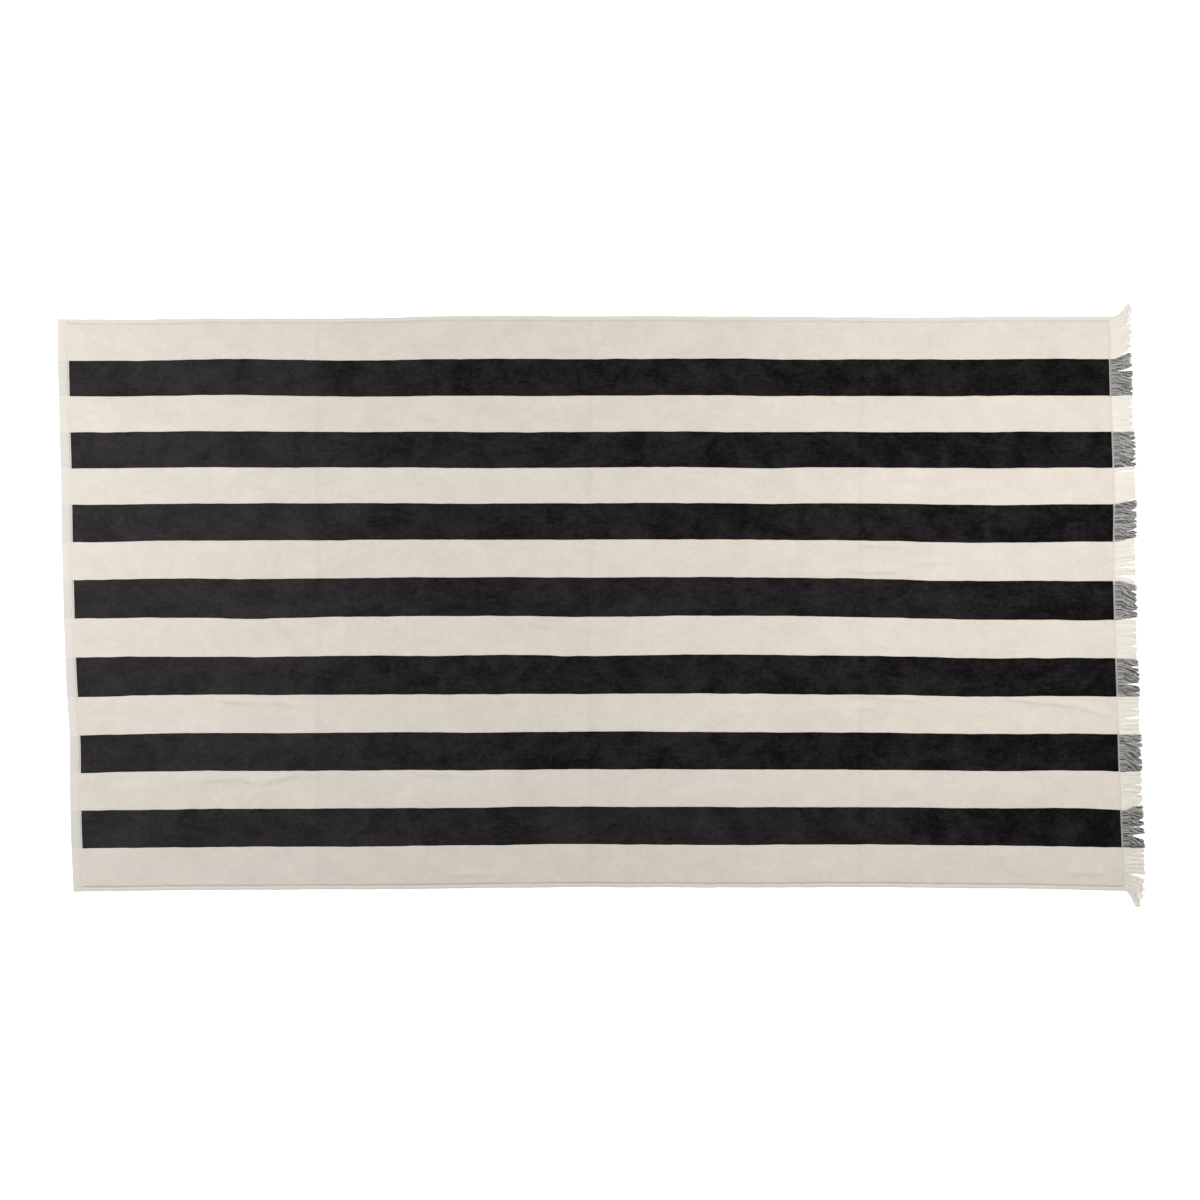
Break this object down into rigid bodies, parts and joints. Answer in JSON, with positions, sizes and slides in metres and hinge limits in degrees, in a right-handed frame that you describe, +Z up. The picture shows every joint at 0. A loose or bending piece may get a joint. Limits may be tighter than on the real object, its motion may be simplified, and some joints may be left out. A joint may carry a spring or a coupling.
{
  "type": "bath mat",
  "caption": "Large thin towelling bath mat or bath sheet: cream and black stripes along its length, cut pile face, looped back, turned hems on three edges and one fringed end.",
  "frame": {"origin": "middle of the spread mat's outline, on the underside of the middle black stripe's loops, at the height of the floor", "axes": "+X along the stripes towards the fringed end, +Y across them to the far side hem, +Z up out of the cut pile face"},
  "size_m": [1.7081, 0.9322, 0.0041],
  "materials": {
    "ground_weave": "matte plain weave",
    "cream_pile": "matte cut cotton pile",
    "black_pile": "matte cut cotton pile",
    "cream_loops": "matte cotton terry loops",
    "black_loops": "matte cotton terry loops",
    "hem_weave": "matte plain weave",
    "sewing_thread": "dull sewing thread",
    "cream_fringe": "loose twisted cotton yarn",
    "grey_fringe": "loose twisted cotton yarn, black and cream mixed"
  },
  "bodies": {
    "root": {"ground_cloth": "ground_weave", "velour_cream_1": "cream_pile", "velour_cream_2": "cream_pile", "velour_cream_3": "cream_pile", "velour_cream_4": "cream_pile", "velour_cream_5": "cream_pile", "velour_cream_6": "cream_pile", "velour_cream_7": "cream_pile", "velour_cream_8": "cream_pile", "velour_black_1": "black_pile", "velour_black_2": "black_pile", "velour_black_3": "black_pile", "velour_black_4": "black_pile", "velour_black_5": "black_pile", "velour_black_6": "black_pile", "velour_black_7": "black_pile", "terry_cream_1": "cream_loops", "terry_cream_2": "cream_loops", "terry_cream_3": "cream_loops", "terry_cream_4": "cream_loops", "terry_cream_5": "cream_loops", "terry_cream_6": "cream_loops", "terry_cream_7": "cream_loops", "terry_cream_8": "cream_loops", "terry_black_1": "black_loops", "terry_black_2": "black_loops", "terry_black_3": "black_loops", "terry_black_4": "black_loops", "terry_black_5": "black_loops", "terry_black_6": "black_loops", "terry_black_7": "black_loops", "end_hem": "hem_weave", "side_hem_far": "hem_weave", "side_hem_near": "hem_weave", "end_hem_needle_thread": "sewing_thread", "end_hem_bobbin_thread": "sewing_thread", "side_hem_far_needle_thread": "sewing_thread", "side_hem_far_bobbin_thread": "sewing_thread", "side_hem_near_needle_thread": "sewing_thread", "side_hem_near_bobbin_thread": "sewing_thread", "fringe_lock_thread": "sewing_thread", "fringe_cream_1": "cream_fringe", "fringe_cream_2": "cream_fringe", "fringe_cream_3": "cream_fringe", "fringe_cream_4": "cream_fringe", "fringe_cream_5": "cream_fringe", "fringe_cream_6": "cream_fringe", "fringe_cream_7": "cream_fringe", "fringe_cream_8": "cream_fringe", "fringe_grey_1": "grey_fringe", "fringe_grey_2": "grey_fringe", "fringe_grey_3": "grey_fringe", "fringe_grey_4": "grey_fringe", "fringe_grey_5": "grey_fringe", "fringe_grey_6": "grey_fringe", "fringe_grey_7": "grey_fringe"}
  },
  "joints": []
}
